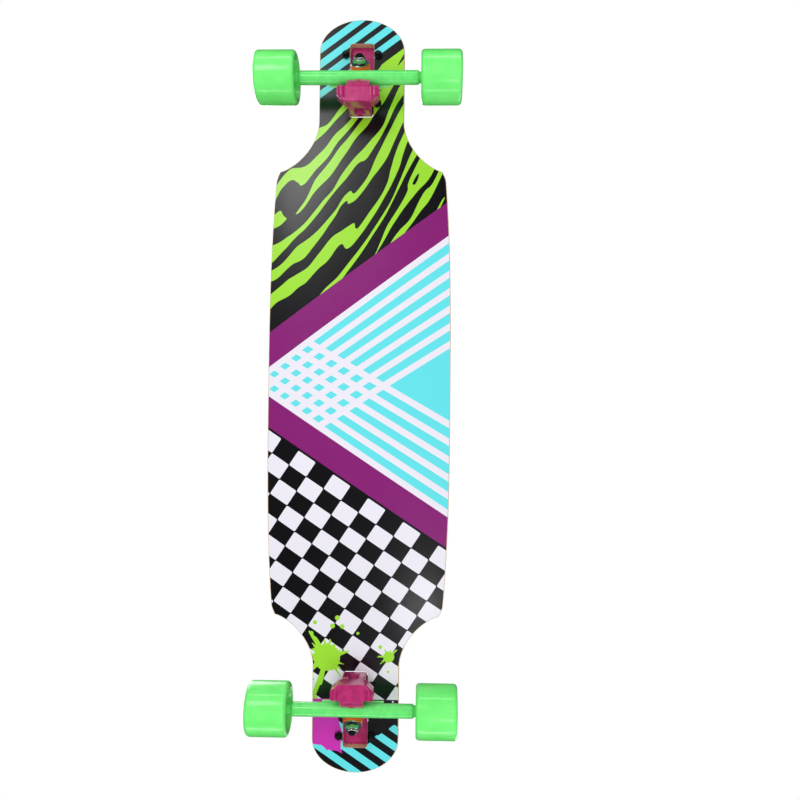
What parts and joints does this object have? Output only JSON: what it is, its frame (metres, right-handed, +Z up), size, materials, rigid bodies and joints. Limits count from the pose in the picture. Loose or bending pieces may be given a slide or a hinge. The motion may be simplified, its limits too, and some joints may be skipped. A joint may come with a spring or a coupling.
{
  "type": "drop-through longboard skateboard",
  "caption": "Symmetric drop-through longboard with a narrow-necked deck, reverse-kingpin trucks that steer on bushings, and four urethane wheels that spin.",
  "frame": {"origin": "on the ground midway between the four wheels, under the middle of the deck", "axes": "+X towards the nose, +Y to the rider's left when facing the nose, +Z up"},
  "size_m": [0.965, 0.254, 0.0979],
  "materials": {
    "deck_maple": "lacquered bamboo and maple, with a printed underside",
    "grip_tape": "coarse grit on a tape",
    "baseplate_paint": "cast, with magenta paint",
    "hanger_paint": "cast, with bright green paint",
    "wheel_urethane": "bright green cast urethane",
    "bushing_urethane": "orange cast urethane",
    "core_plastic": "moulded",
    "cup_plastic": "moulded",
    "zinc_steel": "zinc plated",
    "black_steel": "black oxide"
  },
  "bodies": {
    "board": {"deck": "deck_maple", "grip_wide": "grip_tape", "grip_narrow": "grip_tape", "front_baseplate": "baseplate_paint", "front_pivot_cup": "cup_plastic", "front_kingpin": "black_steel", "front_kingpin_nut": "black_steel", "front_bushing_board": "bushing_urethane", "front_bushing_road": "bushing_urethane", "front_washer_board": "zinc_steel", "front_washer_road": "zinc_steel", "front_bolt_1": "black_steel", "front_bolt_2": "black_steel", "front_bolt_3": "black_steel", "front_bolt_4": "black_steel", "front_locknut_1": "zinc_steel", "front_locknut_2": "zinc_steel", "front_locknut_3": "zinc_steel", "front_locknut_4": "zinc_steel", "rear_baseplate": "baseplate_paint", "rear_pivot_cup": "cup_plastic", "rear_kingpin": "black_steel", "rear_kingpin_nut": "black_steel", "rear_bushing_board": "bushing_urethane", "rear_bushing_road": "bushing_urethane", "rear_washer_board": "zinc_steel", "rear_washer_road": "zinc_steel", "rear_bolt_1": "black_steel", "rear_bolt_2": "black_steel", "rear_bolt_3": "black_steel", "rear_bolt_4": "black_steel", "rear_locknut_1": "zinc_steel", "rear_locknut_2": "zinc_steel", "rear_locknut_3": "zinc_steel", "rear_locknut_4": "zinc_steel"},
    "front_hanger": {"front_hanger": "hanger_paint", "front_axle": "zinc_steel", "front_left_axle_nut": "zinc_steel", "front_right_axle_nut": "zinc_steel"},
    "front_left_wheel": {"front_left_tyre": "wheel_urethane", "front_left_core": "core_plastic", "front_left_bearing_inner": "zinc_steel", "front_left_bearing_outer": "zinc_steel"},
    "front_right_wheel": {"front_right_tyre": "wheel_urethane", "front_right_core": "core_plastic", "front_right_bearing_inner": "zinc_steel", "front_right_bearing_outer": "zinc_steel"},
    "rear_hanger": {"rear_hanger": "hanger_paint", "rear_axle": "zinc_steel", "rear_left_axle_nut": "zinc_steel", "rear_right_axle_nut": "zinc_steel"},
    "rear_left_wheel": {"rear_left_tyre": "wheel_urethane", "rear_left_core": "core_plastic", "rear_left_bearing_inner": "zinc_steel", "rear_left_bearing_outer": "zinc_steel"},
    "rear_right_wheel": {"rear_right_tyre": "wheel_urethane", "rear_right_core": "core_plastic", "rear_right_bearing_inner": "zinc_steel", "rear_right_bearing_outer": "zinc_steel"}
  },
  "joints": [
    {"name": "front_steer", "type": "hinge", "parent": "board", "child": "front_hanger", "pos_m": [0.39662, 0, 0.05103], "axis": [0.7431, 0, 0.6691], "range_deg": [-16, 16], "stiffness_Nm_per_rad": 80, "deforming": ["front_bushing_board", "front_bushing_road"]},
    {"name": "front_left_wheel_spin", "type": "hinge", "parent": "front_hanger", "child": "front_left_wheel", "pos_m": [0.388, 0.102, 0.0325], "axis": [0, 1, 0], "continuous": true},
    {"name": "front_right_wheel_spin", "type": "hinge", "parent": "front_hanger", "child": "front_right_wheel", "pos_m": [0.388, -0.102, 0.0325], "axis": [0, 1, 0], "continuous": true},
    {"name": "rear_steer", "type": "hinge", "parent": "board", "child": "rear_hanger", "pos_m": [-0.39662, 0, 0.05103], "axis": [-0.7431, 0, 0.6691], "range_deg": [-16, 16], "stiffness_Nm_per_rad": 80, "deforming": ["rear_bushing_board", "rear_bushing_road"]},
    {"name": "rear_left_wheel_spin", "type": "hinge", "parent": "rear_hanger", "child": "rear_left_wheel", "pos_m": [-0.388, 0.102, 0.0325], "axis": [0, 1, 0], "continuous": true},
    {"name": "rear_right_wheel_spin", "type": "hinge", "parent": "rear_hanger", "child": "rear_right_wheel", "pos_m": [-0.388, -0.102, 0.0325], "axis": [0, 1, 0], "continuous": true}
  ]
}
